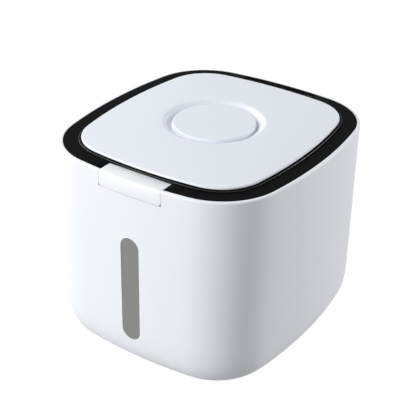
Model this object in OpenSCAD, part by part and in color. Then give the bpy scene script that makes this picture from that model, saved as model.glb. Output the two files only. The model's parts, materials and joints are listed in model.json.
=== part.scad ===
// Rice storage bin with a collar, a press-to-open lid on a sprung hinge, and a sight window.
// Millimetres. Z is up, the front faces -Y, and the origin is at the middle of the feet's plane.
// An inset is a distance inwards from the outline of the walls, seen from above.

/* [Walls] */
// Width over the side walls
body_w = 252; // [227:1:290]
// Depth over the front and rear walls
body_d = 276; // [252:1:318]
// Height of the collar's flat face
collar_h = 214; // [170:1:260]
// Radius of the bulging walls, seen from above
side_r = 470; // [395:5:700]
// Radius of the four upright corners
corner_r = 68; // [66:0.5:76]
// Height and reach of the curve from the walls into the flat base
base_curve_h = 63.5; // [45:0.5:64]
// Power of the base curve: 2 is a round arc, more is squarer
base_curve_power = 4; // [2:0.5:5]
// Wall thickness beside the collar
rim_wall_t = 3.2; // [2.8:0.1:3.8]
// Wall thickness below the collar's ledge
wall_t = 3.6; // [3:0.1:4]
// Thickness of the floor
floor_t = 3.6; // [3:0.1:5]
// Radius of the rounded rim
rim_round_r = 1.6; // [0.8:0.1:2]

/* [Window] */
// Width of the window
window_w = 20.9; // [16:0.1:28]
// Drop of the window's upper end below the collar's face
window_drop = 60.5; // [50:0.5:80]
// Height of the window's lower end
window_z = 39; // [36:0.5:50]
// How far the pane lies behind the wall's face
window_recess = 0.6; // [0.5:0.1:1]

/* [Collar] */
// Width of the flat black face that shows around the lid
collar_show_w = 14.8; // [13:0.1:17]
// Thickness of the collar's plate
collar_t = 2.6; // [2:0.1:3.5]
// Depth of the collar's skirts
skirt_h = 26; // [25:0.5:34]
// Thickness of the outer skirt
skirt_t = 2.2; // [1.8:0.1:2.6]
// Inset of the throat's outer face
throat_in = 27; // [27:0.1:32]
// Thickness of the throat
throat_t = 2; // [1.6:0.1:3]

/* [Lid] */
// Width of the black lip that shows around the white cover
lip_w = 2.8; // [2:0.1:4]
// Height of the cover's top above the collar's face
lid_proud = 4; // [3.6:0.1:5]
// Thickness of the cover
cover_t = 2; // [1.6:0.1:2.4]
// Radius of the cover's rounded edge
cover_edge_r = 1.5; // [0.8:0.1:1.6]
// Radius of the round disc in the middle of the cover
disc_r = 41.2; // [38:0.1:45]
// Width of the groove around the disc
groove_w = 10.8; // [7:0.1:12]
// Depth of the groove
groove_depth = 5; // [3:0.1:5]
// How far the disc's top lies below the cover's flat middle
disc_drop = 0.8; // [0:0.1:1]
// How far the disc lies behind the middle of the lid
disc_back = 1.5; // [0:0.5:6]
// Rise of the cover from its edge to its middle
crown_h = 3; // [2.5:0.1:3.5]

/* [Latch] */
// Width of the button
button_w = 70; // [60:1:72]
// Height of the button's front face
button_h = 15.5; // [13:0.5:16]
// Radius of the button's lower corners
button_corner_r = 3.5; // [1:0.5:5]
// Radius of the fold between the button's top and front
button_fold_r = 2; // [0.8:0.1:2]
// Hairline gap around the button
button_gap = 0.4; // [0.3:0.05:0.6]

/* [Feet] */
// Radius of a foot
foot_r = 9; // [6:0.5:11]
// How far the feet stand below the base
foot_proud = 1.5; // [1:0.1:3]
// Distance from the side walls to the middle of a foot
foot_side_in = 59; // [57:1:70]
// Distance from the front and rear walls to the middle of a foot
foot_end_in = 59.5; // [57.5:1:72.5]

/* [Hidden] */
$fn = 64;

// Overrun of every cut, and the gap that pieces of different bodies keep.
over = 1;
gap = 0.3;
// How deep a piece is sunk into the one that it grows from.
root_t = 1;
// Slack of a bore around a pin that is fixed in it, and of one that turns.
fixed_slack = 0.02;
running_slack = 0.05;

// Outline of the walls: two pairs of wide arcs joined by corner arcs that touch them.
half_w = body_w / 2;
half_d = body_d / 2;
side_x = side_r - half_w;
side_y = side_r - half_d;
arc_gap = side_r - corner_r;
arc_span = norm([side_x, side_y]);
arc_rise = sqrt(arc_gap * arc_gap - arc_span * arc_span / 4);
corner_x = -side_x / 2 + arc_rise * side_y / arc_span;
corner_y = -side_y / 2 + arc_rise * side_x / arc_span;
side_deg = atan2(corner_y, corner_x + side_x);
front_deg = atan2(corner_y + side_y, corner_x);
SIDE_STEPS = 10;
FRONT_STEPS = 8;
CORNER_STEPS = 13;
OUTLINE_STEPS = 2 * SIDE_STEPS + 2 * FRONT_STEPS + 4 * CORNER_STEPS;

// Heights above the feet's plane.
face_z = collar_h;
collar_seal_t = 1;
ledge_z = face_z - skirt_h - collar_seal_t;
inner_floor_z = foot_proud + floor_t;

// The ledge is a bead inside the wall.
ledge_w = 3;
ledge_t = 3;

// Insets from the walls' outline, from the rim to the throat.
collar_in = rim_wall_t + gap;
ledge_in = rim_wall_t + ledge_w;
flange_in = collar_in + collar_show_w;
cover_in = flange_in + lip_w;
mouth_in = throat_in + throat_t;

// Steps of the base curve in degrees, and of the rounded edges.
CURVE_STEP = 10;
ROUND_STEP = 30;

// Snap hooks of the collar, two on each wall.
snap_deg = 6.6;
snap_w = 10;
snap_h = 2.4;
snap_reach = 1.1;
snap_drop = 16;
snap_slack = 0.3;

// Window: a pad on the inside of the wall, then gasket, flange of the pane and retainer.
window_seat_in = 5.6;
window_slack = 0.15;
window_flange_w = 5;
window_margin = 1.5;
window_pad_w = window_flange_w + window_margin;
gasket_t = 1.2;
gasket_w = 3.6;
flange_t = 2;
retainer_t = 2;
window_boss_r = 3.2;
window_boss_x = window_w / 2 + window_pad_w + window_boss_r - window_margin / 2;
window_h = face_z - window_drop - window_z;
window_boss_end = 22.3;
window_boss_z = window_h / 2 - window_boss_end;
seat_y = -half_d + window_seat_in;
gasket_y = seat_y + gasket_t;
flange_y = gasket_y + flange_t;
retainer_y = flange_y + retainer_t;
window_mid_z = window_z + window_h / 2;

// Small screws.
screw_r = 1.25;
screw_head_r = 2.6;
screw_head_h = 1.6;
screw_hole_r = 1.6;
screw_tip_gap = 0.5;
drive_r = 0.8;

// Latch: a rocker on a pin behind the front wall, which carries the button and the hook.
latch_pin_in = 11.5;
latch_pin_drop = 20.5;
latch_pin_r = 1.25;
latch_pin_y = -half_d + latch_pin_in;
latch_pin_z = face_z - latch_pin_drop;
bay_wall_t = 2;
bay_floor_t = 1.8;
bay_lip_t = 3.2;
bay_half = button_w / 2 + button_gap;
bay_end_y = -half_d + throat_in;
button_t = 2.2;
button_cheek_t = 1.8;
button_end_y = -half_d + flange_in - gap;
hub_r = 3;
hub_slack = 0.8;
web_t = 2;
web_y = latch_pin_y - hub_r;
web_slack = 0.7;
web_half = button_w / 2 - button_cheek_t - web_slack;
web_top_gap = 0.6;
web_top_z = face_z - button_t - web_top_gap;
button_screw_x = 24;
button_screw_drop = 9;
button_boss_r = 3;
hook_w = 12;
hook_t = 1.7;
hook_slack = 0.5;
press_reach = 1.2;
hook_end_y = bay_end_y - hook_slack - press_reach;
hook_nose_t = 2;
hook_nose_reach = 1.2;
hook_drop = 3.2;
hook_top_z = face_z - hook_drop;
hook_arm_t = 2;
hook_arm_drop = 10.8;
hook_arm_z = face_z - hook_arm_drop;
catch_w = 16;
catch_t = 1.3;
catch_nose_reach = 1;
catch_nose_t = 1.8;
catch_drop = 7.5;
catch_nose_y = hook_end_y - hook_t - hook_nose_reach - gap;

// Latch springs: pushed against the throat, one on each side of the hook.
latch_spring_x = 13;
latch_spring_drop = 14;
latch_spring_r = 2.5;
latch_wire_r = 0.35;
latch_spring_turns = 8;
latch_spring_slack = 1;
latch_post_r = 1.5;
latch_post_l = 5;

// Hinge: two arms of the lid on short pins, each with a torsion spring beside it.
hinge_in = 10.9;
knuckle_r = 3.6;
knuckle_drop = 0.2;
hinge_pin_r = 1.5;
bush_r = 2.5;
hinge_y = half_d - hinge_in;
hinge_z = face_z - knuckle_r - knuckle_drop;
pocket_x0 = 14;
pocket_x1 = 42;
pocket_wall_t = 2;
pocket_depth = 8.2;
pocket_floor_t = 1.8;
pocket_slack = 0.6;
arm_w = 14;
arm_slack = 0.5;
arm_t = 5.4;
arm_front_slack = 0.9;
arm_x0 = pocket_x0 + arm_slack;
pocket_end_y = half_d - throat_in;
hinge_wire_r = 0.45;
hinge_spring_r = 2.7;
hinge_spring_turns = 6;
hinge_last_turn_share = 0.75;
hinge_spring_pitch = 1.75;
spring_side_slack = 0.4;
spring_floor_slack = 0.1;
lid_leg_l = 7;
lid_leg_in = 4.5;
lid_leg_bend = 3.5;
floor_leg_bend = 1.2;
floor_leg_l = 6;

// Lid: base under the cover, its plug inside the throat.
lid_gap = 0.4;
lip_h = 1;
lip_chamfer = 0.6;
shadow_in = 0.5;
plug_gap = 1;
plug_t = 2;
plug_h = 8;
deck_t = 2;
deck_drop = 3;
plug_in = mouth_in + plug_gap;
seal_w = 1.2;
seal_top = 1.2;
seal_slack = 0.1;
seal_in = throat_in + (throat_t - seal_w) / 2;
cover_z = face_z + lid_proud;
cover_under_z = cover_z - cover_t;
lid_under_z = face_z + lid_gap;
deck_z = face_z - deck_drop;
groove_edge_r = 0.7;
groove_edge_share = 0.33;
groove_round_share = 0.2;
groove_floor_share = 0.85;
groove_back_w = 3;
GROOVE_STEPS = 8;
GROOVE_WALL_STEPS = 3;
crown_margin = 6;
crown_flat_margin = 1;
CROWN_STEPS = 6;
lid_boss_r = 3.6;
lid_screw_bite = 3.6;
lid_screw_side_in = 55;
lid_screw_end_in = 57.5;
lid_screw_mid_in = 41;
lid_screw_x = half_w - lid_screw_side_in;
lid_screw_y = half_d - lid_screw_end_in;
lid_screw_mid_x = half_w - lid_screw_mid_in;

// Desiccant box under the middle of the lid, with a cap that turns off.
box_r = 35;
box_wall_t = 2;
box_h = 13;
box_top_t = 2;
cap_t = 2;
cap_skirt_t = 1.4;
cap_skirt_h = 5;
cap_slack = 0.3;
cap_lug_w = 6;
cap_lug_h = 1.4;
cap_lug_reach = 0.7;
cap_slot_w = 2.4;
cap_slot_r0 = 8;
cap_slot_r1 = 27;
CAP_SLOTS = 12;
CAP_LUGS = 3;
cap_entry_share = 0.25;
box_z = deck_z - box_h;
box_y = disc_back;
sachet_r = 27;
sachet_h = 7;
sachet_round_r = 2.5;
SACHET_STEP = 15;

// Feet.
foot_x = half_w - foot_side_in;
foot_y = half_d - foot_end_in;
foot_sink = 1.2;
foot_edge = 0.5;
foot_slack = 0.2;

// Points of one arc without its last one.
function arc(c, r, a0, a1, n) =
  [for (i = [0:n - 1]) let (a = a0 + (a1 - a0) * i / n) [c[0] + r * cos(a), c[1] + r * sin(a)]];

// The outline of the walls moved inwards.
function plan(inset) = concat(
  arc([-side_x, 0], side_r - inset, -side_deg, side_deg, SIDE_STEPS),
  arc([corner_x, corner_y], corner_r - inset, side_deg, front_deg, CORNER_STEPS),
  arc([0, -side_y], side_r - inset, front_deg, 180 - front_deg, FRONT_STEPS),
  arc([-corner_x, corner_y], corner_r - inset, 180 - front_deg, 180 - side_deg, CORNER_STEPS),
  arc([side_x, 0], side_r - inset, 180 - side_deg, 180 + side_deg, SIDE_STEPS),
  arc([-corner_x, -corner_y], corner_r - inset, 180 + side_deg, 180 + front_deg, CORNER_STEPS),
  arc([0, side_y], side_r - inset, 180 + front_deg, 360 - front_deg, FRONT_STEPS),
  arc([corner_x, -corner_y], corner_r - inset, 360 - front_deg, 360 - side_deg, CORNER_STEPS)
);

// Triangles between rings of n points each, closed by a cap at each end.
function tube_faces(rings, n) = concat(
  [[for (i = [0:n - 1]) i]],
  [for (k = [0:rings - 2]) for (i = [0:n - 1])
    let (a = k * n + i, b = k * n + (i + 1) % n) [a, a + n, b + n]],
  [for (k = [0:rings - 2]) for (i = [0:n - 1])
    let (a = k * n + i, b = k * n + (i + 1) % n) [a, b + n, b]],
  [[for (i = [n - 1:-1:0]) (rings - 1) * n + i]]
);

// Triangles between rings that come round to the first one again.
function loop_faces(rings, n) = concat(
  [for (k = [0:rings - 1]) for (i = [0:n - 1])
    let (a = k * n + i, b = k * n + (i + 1) % n, c = (k + 1) % rings * n + i) [a, c, c - i + (i + 1) % n]],
  [for (k = [0:rings - 1]) for (i = [0:n - 1])
    let (a = k * n + i, b = k * n + (i + 1) % n, c = (k + 1) % rings * n + i) [a, c - i + (i + 1) % n, b]]
);

// A solid whose rings follow the outline at each [inset, height] of a profile.
module plan_solid(profile) {
  polyhedron(
    points = [for (s = profile) for (p = plan(s[0])) [p[0], p[1], s[1]]],
    faces = tube_faces(len(profile), OUTLINE_STEPS)
  );
}

// The same around a closed profile.
module plan_loop(profile) {
  polyhedron(
    points = [for (s = profile) for (p = plan(s[0])) [p[0], p[1], s[1]]],
    faces = loop_faces(len(profile), OUTLINE_STEPS)
  );
}

// A flat plate of the outline.
module slab(inset, z0, z1) {
  translate([0, 0, z0])
    linear_extrude(height = z1 - z0)
      polygon(plan(inset));
}

// A band between two insets.
module band(outer, inner, z0, z1) {
  translate([0, 0, z0])
    linear_extrude(height = z1 - z0)
      polygon(
        points = concat(plan(outer), plan(inner)),
        paths = [
          [for (i = [0:OUTLINE_STEPS - 1]) i],
          [for (i = [0:OUTLINE_STEPS - 1]) OUTLINE_STEPS + i]
        ]
      );
}

// A box from one corner to the other.
module block(x0, x1, y0, y1, z0, z1) {
  translate([x0, y0, z0])
    cube([x1 - x0, y1 - y0, z1 - z0]);
}

// An upright obround plate, grown on all sides, between two depths.
module obround(grow, y0, y1) {
  r = window_w / 2 + grow;
  translate([0, y1, window_mid_z])
    rotate([90, 0, 0])
      linear_extrude(height = y1 - y0)
        union() {
          translate([-r, -window_h / 2 + window_w / 2])
            square([2 * r, window_h - window_w]);
          for (s = [-1, 1])
            translate([0, s * (window_h - window_w) / 2])
              circle(r = r);
        }
}

// A rod along X, and one along Y.
module rod_x(r, x0, x1, y, z) {
  translate([x0, y, z])
    rotate([0, 90, 0])
      cylinder(r = r, h = x1 - x0);
}

module rod_y(r, y0, y1, x, z) {
  translate([x, y1, z])
    rotate([90, 0, 0])
      cylinder(r = r, h = y1 - y0);
}

// Places two pieces on each wall, with local X pointing out through the wall from side_r.
module on_walls() {
  for (k = [0:3]) {
    reach = k % 2 == 0 ? side_x : side_y;
    for (s = [-1, 1])
      rotate([0, 0, 90 * k])
        translate([-reach, 0, 0])
          rotate([0, 0, s * snap_deg])
            children();
  }
}

// A tube of six sides along points, turned against a fixed direction.
function unit(v) = v / norm(v);
function along(path, i) = unit(path[min(i + 1, len(path) - 1)] - path[max(i - 1, 0)]);
WIRE_SIDES = 6;
function wire_rings(path, r, ref) = [
  for (i = [0:len(path) - 1])
    let (t = along(path, i), u = unit(cross(t, ref)), v = cross(t, u))
      for (j = [0:WIRE_SIDES - 1])
        let (a = 360 * j / WIRE_SIDES) path[i] + r * (cos(a) * u + sin(a) * v)
];

module wire(path, r, ref) {
  polyhedron(points = wire_rings(path, r, ref), faces = tube_faces(len(path), WIRE_SIDES));
}

// Smallest clear distance of a wound wire to itself, past half a turn along it.
COIL_STEPS = 8;
function wire_clearance(path, r) = min([
  for (i = [0:len(path) - 1])
    for (j = [i + COIL_STEPS / 2:1:len(path) - 1]) norm(path[i] - path[j]) - 2 * r
]);

// Wall, rounded rim, ledge and floor as one profile, from the base up and down again inside.
function base_curve(t) = [
  1 - pow(cos(t), 2 / base_curve_power),
  1 - pow(sin(t), 2 / base_curve_power)
];
outer_profile = [
  for (t = [90:-CURVE_STEP:0])
    [base_curve_h * base_curve(t)[0], foot_proud + base_curve_h * base_curve(t)[1]]
];
rim_profile = [
  for (a = [0:ROUND_STEP:90])
    [rim_round_r * (1 - cos(a)), face_z - rim_round_r * (1 - sin(a))]
];
inner_profile = [
  for (t = [0:CURVE_STEP:90])
    [
      wall_t + (base_curve_h - wall_t) * base_curve(t)[0],
      inner_floor_z + (base_curve_h - floor_t) * base_curve(t)[1]
    ]
];
bucket_profile = concat(
  outer_profile,
  rim_profile,
  [[rim_wall_t, face_z], [rim_wall_t, ledge_z], [ledge_in, ledge_z]],
  [[ledge_in, ledge_z - ledge_t], [wall_t, ledge_z - ledge_t - ledge_w]],
  inner_profile
);

// The moulded bin.
module outer_bucket() {
  color("white")
    difference() {
      union() {
        plan_solid(bucket_profile);
        obround(window_pad_w, -half_d + wall_t / 2, seat_y);
        for (x = [-1, 1], z = [-1, 1])
          rod_y(window_boss_r, -half_d + wall_t / 2, flange_y,
            x * window_boss_x, window_mid_z + z * window_boss_z);
      }
      obround(window_slack, -half_d - over, flange_y + over);
      for (x = [-1, 1], z = [-1, 1])
        rod_y(screw_r, -half_d + wall_t, flange_y + over,
          x * window_boss_x, window_mid_z + z * window_boss_z);
      block(-bay_half, bay_half, -half_d - over, bay_end_y,
        face_z - button_h - button_gap, face_z + over);
      on_walls()
        block(side_r - collar_in - over, side_r - collar_in + snap_reach + snap_slack,
          -snap_w / 2 - snap_slack, snap_w / 2 + snap_slack,
          face_z - snap_drop - snap_slack, face_z - snap_drop + snap_h + snap_slack);
      for (x = [-foot_x, foot_x], y = [-foot_y, foot_y])
        translate([x, y, foot_proud - over])
          cylinder(r = foot_r + foot_slack, h = foot_sink + over);
    }
}

// The pane: a lens in the slot and a flange behind it.
module window_pane() {
  color([0.55, 0.55, 0.54])
    union() {
      obround(0, -half_d + window_recess, gasket_y + flange_t / 2);
      obround(window_flange_w, gasket_y, flange_y);
    }
}

module window_gasket() {
  color([0.2, 0.2, 0.2])
    difference() {
      obround(window_slack + gasket_w, seat_y, gasket_y);
      obround(window_slack, seat_y - over, gasket_y + over);
    }
}

// The frame that presses the pane home, with an ear at each screw.
module window_retainer() {
  color([0.92, 0.92, 0.93])
    difference() {
      union() {
        obround(window_pad_w, flange_y, retainer_y);
        for (z = [-1, 1]) {
          for (x = [-1, 1])
            rod_y(window_boss_r, flange_y, retainer_y, x * window_boss_x, window_mid_z + z * window_boss_z);
          block(-window_boss_x, window_boss_x, flange_y, retainer_y,
            window_mid_z + z * window_boss_z - window_boss_r,
            window_mid_z + z * window_boss_z + window_boss_r);
        }
      }
      obround(0, flange_y - over, retainer_y + over);
      for (x = [-1, 1], z = [-1, 1])
        rod_y(screw_hole_r, flange_y - over, retainer_y + over,
          x * window_boss_x, window_mid_z + z * window_boss_z);
    }
}

// A small screw with its head's face at the origin, its shank along -Z, and a drive recess.
module screw(l) {
  difference() {
    union() {
      cylinder(r = screw_head_r, h = screw_head_h);
      translate([0, 0, -l])
        cylinder(r = screw_r - fixed_slack, h = l + screw_head_h / 2);
    }
    translate([0, 0, screw_head_h / 2])
      cylinder(r = drive_r, h = screw_head_h);
  }
}

window_screw_l = retainer_y + half_d - wall_t - screw_tip_gap;
module window_screws() {
  color([0.7, 0.7, 0.72])
    for (x = [-1, 1], z = [-1, 1])
      translate([x * window_boss_x, retainer_y, window_mid_z + z * window_boss_z])
        rotate([-90, 0, 0])
          screw(window_screw_l);
}

// The collar: plate, outer skirt, throat, latch bay and two hinge pockets.
module collar() {
  color([0.08, 0.08, 0.09])
    difference() {
      union() {
        band(collar_in, mouth_in, face_z - collar_t, face_z);
        band(collar_in, collar_in + skirt_t, face_z - skirt_h, face_z);
        band(throat_in, mouth_in, face_z - skirt_h, face_z);
        intersection() {
          slab(collar_in, face_z - skirt_h, face_z);
          union() {
            latch_bay_walls();
            for (s = [-1, 1])
              hinge_pocket_walls(s);
          }
        }
        on_walls()
          block(side_r - collar_in - skirt_t / 2, side_r - collar_in + snap_reach,
            -snap_w / 2, snap_w / 2, face_z - snap_drop, face_z - snap_drop + snap_h);
      }
      latch_bay_hollow();
      rod_x(latch_pin_r + fixed_slack, -bay_half - bay_wall_t - over, bay_half + bay_wall_t + over,
        latch_pin_y, latch_pin_z);
      for (s = [-1, 1])
        hinge_pocket_hollow(s);
    }
}

// Side walls and floor that close the bay around the latch.
module latch_bay_walls() {
  block(-bay_half - bay_wall_t, bay_half + bay_wall_t, -half_d, bay_end_y + throat_t / 2,
    face_z - skirt_h, face_z);
}

// The bay's space, open at the front above its lip, with the two posts of the latch springs left in.
module latch_bay_hollow() {
  difference() {
    union() {
      block(-bay_half, bay_half, -half_d - over, bay_end_y,
        face_z - button_h - button_gap, face_z + over);
      block(-bay_half, bay_half, -half_d + collar_in + bay_lip_t, bay_end_y,
        face_z - skirt_h + bay_floor_t, face_z + over);
    }
    for (s = [-1, 1])
      rod_y(latch_post_r, bay_end_y - latch_post_l, bay_end_y + over,
        s * latch_spring_x, face_z - latch_spring_drop);
  }
}

// Walls of the hinge pocket on one side, s = -1 left, 1 right.
module hinge_pocket_walls(s) {
  x0 = s > 0 ? pocket_x0 - pocket_wall_t : -pocket_x1 - pocket_wall_t;
  x1 = s > 0 ? pocket_x1 + pocket_wall_t : -pocket_x0 + pocket_wall_t;
  block(x0, x1, pocket_end_y - throat_t / 2, half_d,
    face_z - pocket_depth - pocket_floor_t, face_z);
}

module hinge_pocket_hollow(s) {
  x0 = s > 0 ? pocket_x0 : -pocket_x1;
  block(x0, x0 + pocket_x1 - pocket_x0, pocket_end_y, hinge_y + knuckle_r + pocket_slack,
    face_z - pocket_depth, face_z + over);
  rod_x(hinge_pin_r + fixed_slack, x0 - pocket_wall_t - over,
    x0 + pocket_x1 - pocket_x0 + pocket_wall_t + over, hinge_y, hinge_z);
}

module collar_seal() {
  color([0.3, 0.3, 0.3])
    band(collar_in, collar_in + skirt_t, ledge_z, ledge_z + collar_seal_t);
}

module hinge_pin(s) {
  x0 = s > 0 ? pocket_x0 : -pocket_x1;
  color([0.75, 0.75, 0.77])
    rod_x(hinge_pin_r, x0 - pocket_wall_t, x0 + pocket_x1 - pocket_x0 + pocket_wall_t, hinge_y, hinge_z);
}

module hinge_bush(s) {
  x0 = s > 0 ? arm_x0 : -arm_x0 - arm_w;
  color([0.9, 0.88, 0.8])
    difference() {
      rod_x(bush_r, x0, x0 + arm_w, hinge_y, hinge_z);
      rod_x(hinge_pin_r + running_slack, x0 - over, x0 + arm_w + over, hinge_y, hinge_z);
    }
}

// A torsion spring: one leg reaches under the lid's arm, the other stands on the pocket's floor.
hinge_spring_x0 = arm_x0 + arm_w + spring_side_slack + hinge_wire_r;
hinge_coil_steps = COIL_STEPS * (hinge_spring_turns + hinge_last_turn_share);
hinge_coil_x1 = hinge_spring_x0 + hinge_spring_pitch * hinge_coil_steps / COIL_STEPS;
hinge_low_z = hinge_z - hinge_spring_r;
hinge_near_y = hinge_y - hinge_spring_r;
pocket_leg_z = face_z - pocket_depth + hinge_wire_r + spring_floor_slack;
hinge_spring_path = concat(
  [
    [hinge_spring_x0 - lid_leg_in, hinge_y - lid_leg_bend - lid_leg_l, hinge_low_z],
    [hinge_spring_x0 - hinge_wire_r, hinge_y - lid_leg_bend, hinge_low_z]
  ],
  [
    for (i = [0:hinge_coil_steps])
      let (a = 360 * i / COIL_STEPS)
        [
          hinge_spring_x0 + hinge_spring_pitch * i / COIL_STEPS,
          hinge_y + hinge_spring_r * sin(a),
          hinge_z - hinge_spring_r * cos(a)
        ]
  ],
  [
    [hinge_coil_x1, hinge_near_y, hinge_z - floor_leg_bend],
    [hinge_coil_x1, hinge_near_y - floor_leg_bend, pocket_leg_z + floor_leg_bend / 2],
    [hinge_coil_x1, hinge_near_y - 2 * floor_leg_bend, pocket_leg_z],
    [hinge_coil_x1, hinge_near_y - floor_leg_l, pocket_leg_z]
  ]
);
module hinge_spring(s) {
  color([0.6, 0.6, 0.62])
    mirror([s > 0 ? 0 : 1, 0, 0])
      wire(hinge_spring_path, hinge_wire_r, [1, 0, 0]);
}
echo(hinge_spring_least_gap = wire_clearance(hinge_spring_path, hinge_wire_r));

module latch_pin() {
  color([0.75, 0.75, 0.77])
    rod_x(latch_pin_r, -bay_half - bay_wall_t, bay_half + bay_wall_t, latch_pin_y, latch_pin_z);
}

// A compression spring between the lever's web and the throat, over a post.
latch_spring_y0 = web_y + web_t + latch_spring_slack + latch_wire_r;
latch_spring_y1 = bay_end_y - latch_wire_r - fixed_slack;
latch_spring_steps = COIL_STEPS * latch_spring_turns;
latch_spring_rise = (latch_spring_y1 - latch_spring_y0) / latch_spring_steps;
latch_coil = [
  for (i = [0:latch_spring_steps])
    let (a = 360 * i / COIL_STEPS)
      [
        latch_spring_x + latch_spring_r * cos(a),
        latch_spring_y0 + latch_spring_rise * i,
        face_z - latch_spring_drop + latch_spring_r * sin(a)
      ]
];
latch_spring_path = concat(
  [latch_coil[0] - [0, 0, 2 * latch_wire_r]],
  latch_coil,
  [latch_coil[latch_spring_steps] + [0, 0, 2 * latch_wire_r]]
);
module latch_spring(s) {
  color([0.6, 0.6, 0.62])
    mirror([s > 0 ? 0 : 1, 0, 0])
      wire(latch_spring_path, latch_wire_r, [0, 1, 0]);
}
echo(latch_spring_least_gap = wire_clearance(latch_spring_path, latch_wire_r));

// A rubber foot in its pocket.
module foot(x, y) {
  color([0.15, 0.15, 0.15])
    translate([x, y, 0])
      rotate_extrude()
        polygon([
          [0, 0],
          [foot_r - foot_edge, 0],
          [foot_r, foot_edge],
          [foot_r, foot_proud + foot_sink],
          [0, foot_proud + foot_sink]
        ]);
}

// The cover's crown: a shallow dome around a flat middle.
groove_r = disc_r + groove_w;
crown_z = cover_z + crown_h;
disc_z = crown_z - disc_drop;
disc_under_z = disc_z - cover_t;
crown_r = half_w - cover_in - crown_margin;
crown_flat_r = groove_r + disc_back + crown_flat_margin;
crown_full_h = crown_h / (1 - pow(crown_flat_r / crown_r, 2));
function crown_rise(r) = r >= crown_r ? 0 : min(crown_h, crown_full_h * (1 - pow(r / crown_r, 2)));
module crown(drop, low) {
  rotate_extrude($fn = 96)
    polygon(concat(
      [[0, low], [crown_r, low]],
      [
        for (i = [0:CROWN_STEPS])
          let (r = crown_r + (crown_flat_r - crown_r) * i / CROWN_STEPS)
            [r, cover_z - drop + crown_rise(r)]
      ],
      [[0, crown_z - drop]]
    ));
}

// The round groove and the disc's top. The groove falls straight from its rounded outer edge to its floor, and the
// disc's wall rises from there, steeper towards its top.
groove_floor_z = crown_z - groove_depth;
groove_edge_in = groove_edge_share * groove_edge_r;
groove_floor_r = groove_r - groove_floor_share * groove_w;
disc_wall_z = disc_z - groove_edge_r;
function groove_fall(t) = sqrt(pow(t, 2) + pow(groove_round_share, 2)) - groove_round_share;
module groove_cut() {
  translate([0, disc_back, 0])
    rotate_extrude($fn = 96)
      polygon(concat(
        [
          [0, crown_z + over],
          [0, disc_z],
          [disc_r - groove_edge_r, disc_z],
          [disc_r - groove_edge_in, disc_z - groove_edge_in],
          [disc_r, disc_wall_z]
        ],
        [
          for (i = [1:GROOVE_WALL_STEPS - 1])
            [
              disc_r + (groove_floor_r - disc_r) * i / GROOVE_WALL_STEPS,
              groove_floor_z + (disc_wall_z - groove_floor_z) * pow(1 - i / GROOVE_WALL_STEPS, 2)
            ]
        ],
        [
          for (i = [GROOVE_STEPS:-1:0])
            [
              groove_r - (groove_r - groove_floor_r) * i / GROOVE_STEPS,
              crown_z - groove_depth * groove_fall(i / GROOVE_STEPS) / groove_fall(1)
            ]
        ],
        [[groove_r, crown_z + over]]
      ));
}

lid_screw_places = [
  [-lid_screw_x, -lid_screw_y], [lid_screw_x, -lid_screw_y],
  [-lid_screw_mid_x, 0], [lid_screw_mid_x, 0],
  [-lid_screw_x, lid_screw_y], [lid_screw_x, lid_screw_y]
];
box_screw_place = [0, box_y];
cover_profile = concat(
  [[cover_in, cover_under_z]],
  [
    for (a = [0:ROUND_STEP:90])
      [cover_in + cover_edge_r * (1 - cos(a)), cover_z - cover_edge_r * (1 - sin(a))]
  ]
);
groove_back_z = groove_floor_z - cover_t;
module lid_cover() {
  color("white")
    difference() {
      union() {
        difference() {
          union() {
            plan_solid(cover_profile);
            crown(0, cover_z - cover_t / 2);
          }
          crown(cover_t + disc_drop, cover_under_z - disc_drop - over);
        }
        translate([0, disc_back, groove_back_z])
          difference() {
            cylinder(r = groove_r + groove_back_w, h = crown_z - cover_t / 2 - groove_back_z);
            translate([0, 0, -over])
              cylinder(r = disc_r - groove_back_w, h = disc_under_z - groove_back_z + over);
          }
        for (p = concat(lid_screw_places, [box_screw_place]))
          translate([p[0], p[1], deck_z + deck_t])
            cylinder(r = lid_boss_r, h = cover_z + crown_rise(norm(p)) - cover_t / 2 - deck_z - deck_t);
      }
      groove_cut();
      for (p = concat(lid_screw_places, [box_screw_place]))
        translate([p[0], p[1], deck_z])
          cylinder(r = screw_r, h = lid_screw_bite + deck_t);
    }
}

// The black base of the lid: lip, rim, plug, deck, hinge arms and catch.
lip_profile = [
  [flange_in, lid_under_z],
  [flange_in, lid_under_z + lip_h - lip_chamfer],
  [flange_in + lip_chamfer, lid_under_z + lip_h],
  [cover_in + shadow_in + root_t, lid_under_z + lip_h],
  [cover_in + shadow_in + root_t, lid_under_z]
];
module lid_base() {
  color([0.08, 0.08, 0.09])
    difference() {
      union() {
        plan_loop(lip_profile);
        band(cover_in + shadow_in, plug_in + plug_t, lid_under_z, cover_under_z);
        band(plug_in, plug_in + plug_t, face_z - plug_h, cover_under_z);
        slab(plug_in + plug_t / 2, deck_z, deck_z + deck_t);
        for (s = [-1, 1])
          hinge_arm(s);
        catch();
      }
      band(seal_in - seal_slack, seal_in + seal_w + seal_slack, lid_under_z - over, face_z + seal_top);
      for (s = [-1, 1])
        rod_x(bush_r + fixed_slack, s * (arm_x0 + arm_w / 2) - arm_w, s * (arm_x0 + arm_w / 2) + arm_w,
          hinge_y, hinge_z);
      for (p = concat(lid_screw_places, [box_screw_place]))
        translate([p[0], p[1], deck_z - over])
          cylinder(r = screw_hole_r, h = deck_t + 2 * over);
    }
}

module hinge_arm(s) {
  x0 = s > 0 ? arm_x0 : -arm_x0 - arm_w;
  arm_top_z = hinge_z + knuckle_r;
  block(x0, x0 + arm_w, pocket_end_y + arm_front_slack, hinge_y, arm_top_z - arm_t, arm_top_z);
  block(x0, x0 + arm_w, pocket_end_y + arm_front_slack, half_d - flange_in - gap,
    arm_top_z - arm_t, lid_under_z + lip_h / 2);
  rod_x(knuckle_r, x0, x0 + arm_w, hinge_y, hinge_z);
}

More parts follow.
